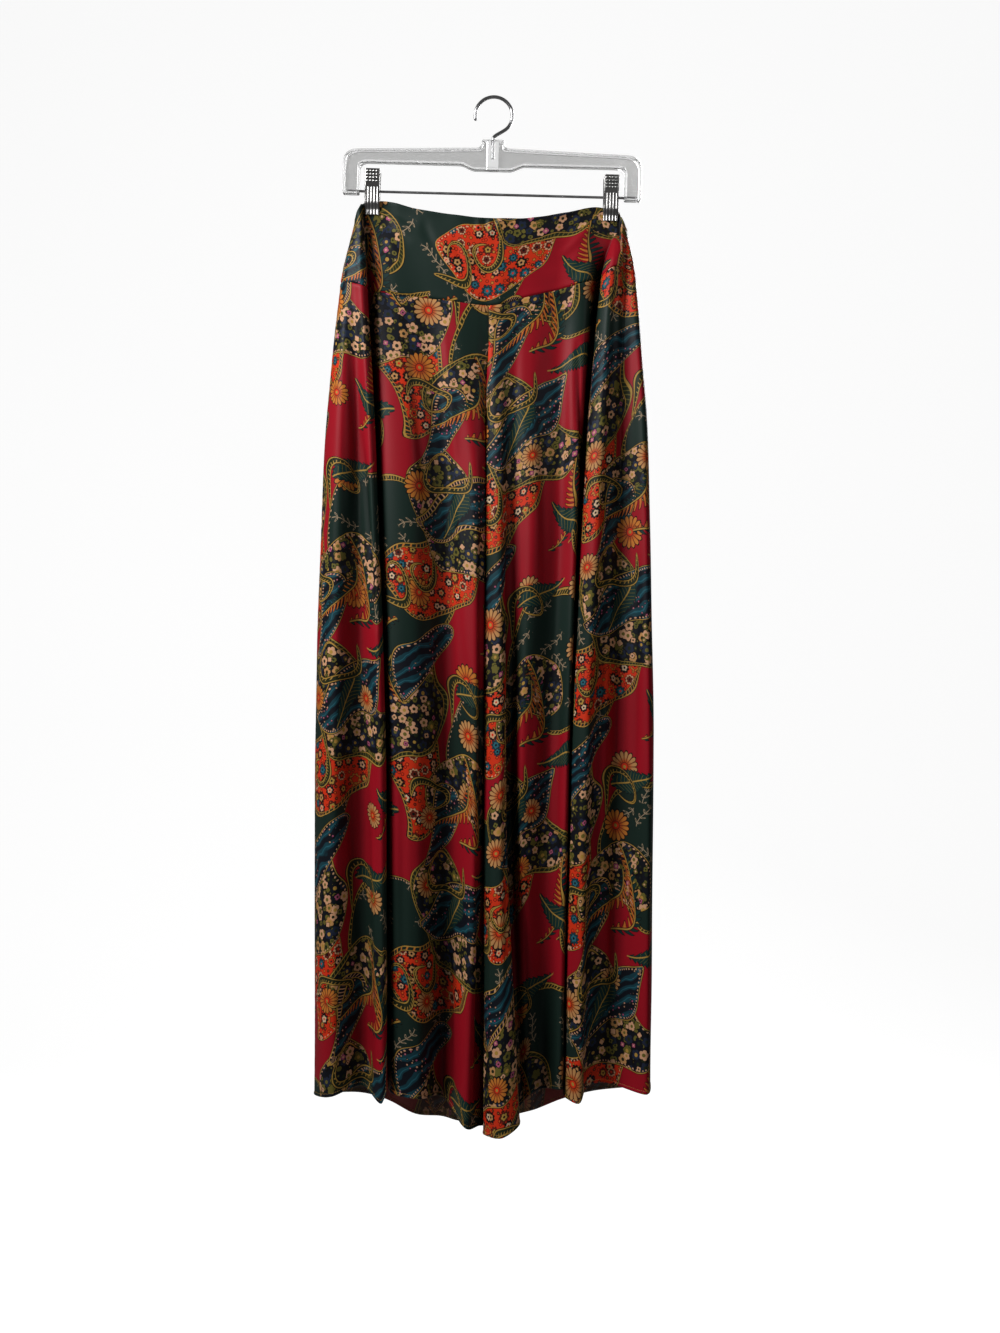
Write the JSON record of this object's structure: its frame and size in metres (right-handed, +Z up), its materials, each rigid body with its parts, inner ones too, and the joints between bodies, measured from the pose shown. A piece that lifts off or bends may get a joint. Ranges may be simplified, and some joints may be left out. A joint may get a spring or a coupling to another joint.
{
  "type": "palazzo pants on a clip hanger",
  "caption": "Wide-legged printed satin pants with a shaped yoke, held by the waist in the two metal clips of a clear hanger, whose hook carries both.",
  "frame": {"origin": "inside crest of the hanger's hook, where a rail carries it", "axes": "+Z up, the front of the pants faces -Y, +X to the right seen from the front"},
  "size_m": [0.4012, 0.1153, 1.2308],
  "materials": {
    "satin": "printed satin: crimson, bottle green, navy and orange-red",
    "clear_plastic": "clear moulded plastic",
    "hook_steel": "plated steel wire",
    "rod_steel": "drawn steel wire",
    "clip_metal": "pressed and plated, dimpled above and ribbed below"
  },
  "bodies": {
    "root": {"yoke_front": "satin", "yoke_back": "satin", "leg_front_left": "satin", "leg_front_right": "satin", "leg_back_left": "satin", "leg_back_right": "satin", "hanger_body": "clear_plastic", "hanger_hook": "hook_steel", "clip_rod": "rod_steel", "clip_left_front": "clip_metal", "clip_left_back": "clip_metal", "clip_right_front": "clip_metal", "clip_right_back": "clip_metal", "clip_left_spring": "rod_steel", "clip_right_spring": "rod_steel"}
  },
  "joints": []
}
